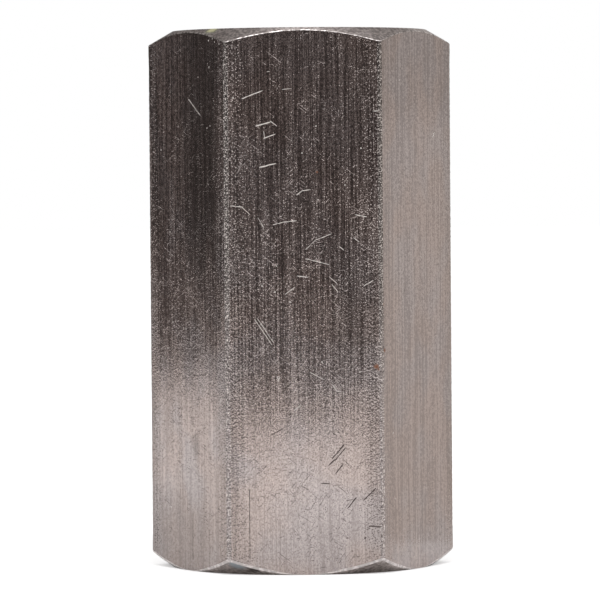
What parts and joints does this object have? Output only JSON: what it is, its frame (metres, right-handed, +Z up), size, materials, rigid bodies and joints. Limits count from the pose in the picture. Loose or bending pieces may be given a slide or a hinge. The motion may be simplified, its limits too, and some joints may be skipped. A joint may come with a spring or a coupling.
{
  "type": "coupling nut",
  "caption": "Long hexagonal coupling nut with chamfered ends, threaded right through, for joining two threaded rods end to end.",
  "frame": {"origin": "centre of the lower end face, on the thread's axis", "axes": "+Z up the thread's axis, along the nut's length; two of the six flats face +Y and -Y, and two of the six long edges lie on +X and -X"},
  "size_m": [0.0338, 0.0296, 0.06],
  "materials": {
    "steel": "bare cold drawn steel with fine lines along the bar, slightly marked by use"
  },
  "bodies": {
    "root": {"coupling_nut": "steel"}
  },
  "joints": []
}
